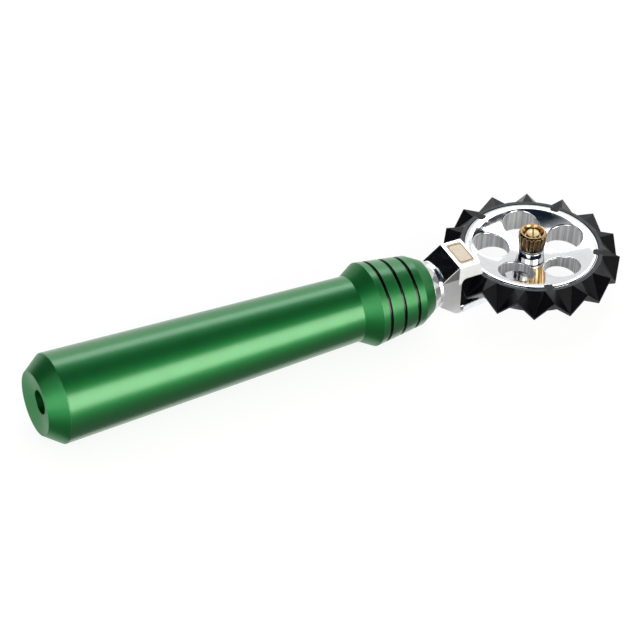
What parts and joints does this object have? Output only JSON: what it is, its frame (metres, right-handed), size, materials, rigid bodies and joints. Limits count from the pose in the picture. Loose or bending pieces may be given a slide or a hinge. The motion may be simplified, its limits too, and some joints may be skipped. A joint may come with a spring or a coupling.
{
  "type": "pastry wheel",
  "caption": "Hand pastry wheel: tapered turned handle, chromed fork with a guard lip, spoked hub with a zigzag toothed ring, and a fluted thumb nut on the axle.",
  "frame": {"origin": "centre of the rear bore's mouth, on the handle's axis", "axes": "+X along the handle towards the wheel, +Z along the wheel's axle towards the thumb nut, +Y completes the right-handed frame"},
  "size_m": [0.1964, 0.0556, 0.028],
  "materials": {
    "green_anodised": "satin anodised",
    "chrome": "polished plate",
    "steel": "turned",
    "brass": "turned, lightly worn",
    "bronze": "sintered",
    "black_plastic": "moulded satin"
  },
  "bodies": {
    "handle_frame": {"handle": "green_anodised", "ferrule": "chrome", "fork_stud": "steel", "fork": "chrome", "axle": "brass", "lower_thrust_washer": "steel"},
    "wheel": {"hub": "chrome", "hub_bush": "bronze", "toothed_ring": "black_plastic"},
    "nut_washer": {"upper_thrust_washer": "steel"},
    "thumb_nut": {"thumb_nut": "brass"}
  },
  "joints": [
    {"name": "wheel_spin", "type": "hinge", "parent": "handle_frame", "child": "wheel", "pos_m": [0.1671, 0, -0.0005], "axis": [0, 0, 1], "continuous": true},
    {"name": "nut_washer_lift", "type": "slide", "parent": "handle_frame", "child": "nut_washer", "axis": [0, 0, 1], "range_m": [0, 0.0035]},
    {"name": "thumb_nut_turn", "type": "hinge", "parent": "nut_washer", "child": "thumb_nut", "pos_m": [0.1671, 0, 0.00365], "axis": [0, 0, 1], "range_deg": [0, 1800]}
  ],
  "couplings": [
    {"joint": "thumb_nut_turn", "follows": "nut_washer_lift", "rad_per_m": 8976}
  ]
}
